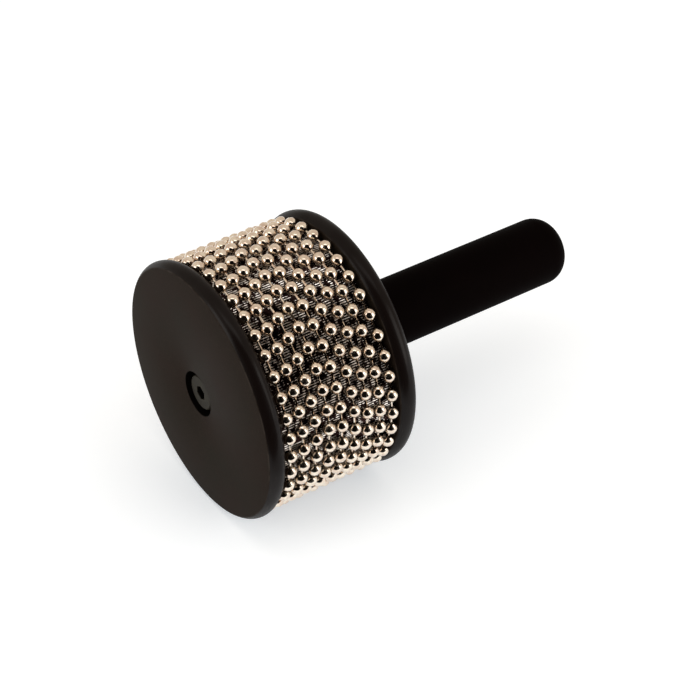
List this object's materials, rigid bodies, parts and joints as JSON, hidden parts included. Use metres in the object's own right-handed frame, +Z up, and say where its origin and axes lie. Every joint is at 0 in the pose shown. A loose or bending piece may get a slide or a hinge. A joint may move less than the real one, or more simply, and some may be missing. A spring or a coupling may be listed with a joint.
{
  "type": "cabasa",
  "caption": "Hand percussion shaker: loops of steel bead chain turn loose around a ribbed drum between two black discs on a straight handle.",
  "frame": {"origin": "On the floor under the middle of the instrument's length, where it lies on the rims of its two discs.", "axes": "+X runs along the drum's axis from the front disc to the end of the handle, +Z is up, and Y is across."},
  "size_m": [0.1862, 0.114, 0.114],
  "materials": {
    "disc_lacquer": "satin black lacquer",
    "handle_lacquer": "matte black lacquer",
    "core_wood": "plain turned wood",
    "sleeve_steel": "ribbed dark steel sheet",
    "bolt_steel": "black oxide",
    "insert_brass": "plain",
    "bead_nickel": "polished nickel plate"
  },
  "bodies": {
    "drum": {"front_disc": "disc_lacquer", "rear_disc": "disc_lacquer", "drum_core": "core_wood", "ribbed_sleeve": "sleeve_steel", "through_bolt": "bolt_steel", "bolt_washer": "bolt_steel", "handle_insert": "insert_brass", "handle": "handle_lacquer"},
    "chain_1": {"bead_loop_1": "bead_nickel", "link_loop_1": "bead_nickel"},
    "chain_2": {"bead_loop_2": "bead_nickel", "link_loop_2": "bead_nickel"},
    "chain_3": {"bead_loop_3": "bead_nickel", "link_loop_3": "bead_nickel"},
    "chain_4": {"bead_loop_4": "bead_nickel", "link_loop_4": "bead_nickel"},
    "chain_5": {"bead_loop_5": "bead_nickel", "link_loop_5": "bead_nickel"},
    "chain_6": {"bead_loop_6": "bead_nickel", "link_loop_6": "bead_nickel"},
    "chain_7": {"bead_loop_7": "bead_nickel", "link_loop_7": "bead_nickel"},
    "chain_8": {"bead_loop_8": "bead_nickel", "link_loop_8": "bead_nickel"},
    "chain_9": {"bead_loop_9": "bead_nickel", "link_loop_9": "bead_nickel"}
  },
  "joints": [
    {"name": "chain_1_spin", "type": "hinge", "parent": "drum", "child": "chain_1", "pos_m": [0, 0, 0.057], "axis": [1, 0, 0], "continuous": true},
    {"name": "chain_2_spin", "type": "hinge", "parent": "drum", "child": "chain_2", "pos_m": [0, 0, 0.057], "axis": [1, 0, 0], "continuous": true},
    {"name": "chain_3_spin", "type": "hinge", "parent": "drum", "child": "chain_3", "pos_m": [0, 0, 0.057], "axis": [1, 0, 0], "continuous": true},
    {"name": "chain_4_spin", "type": "hinge", "parent": "drum", "child": "chain_4", "pos_m": [0, 0, 0.057], "axis": [1, 0, 0], "continuous": true},
    {"name": "chain_5_spin", "type": "hinge", "parent": "drum", "child": "chain_5", "pos_m": [0, 0, 0.057], "axis": [1, 0, 0], "continuous": true},
    {"name": "chain_6_spin", "type": "hinge", "parent": "drum", "child": "chain_6", "pos_m": [0, 0, 0.057], "axis": [1, 0, 0], "continuous": true},
    {"name": "chain_7_spin", "type": "hinge", "parent": "drum", "child": "chain_7", "pos_m": [0, 0, 0.057], "axis": [1, 0, 0], "continuous": true},
    {"name": "chain_8_spin", "type": "hinge", "parent": "drum", "child": "chain_8", "pos_m": [0, 0, 0.057], "axis": [1, 0, 0], "continuous": true},
    {"name": "chain_9_spin", "type": "hinge", "parent": "drum", "child": "chain_9", "pos_m": [0, 0, 0.057], "axis": [1, 0, 0], "continuous": true}
  ]
}
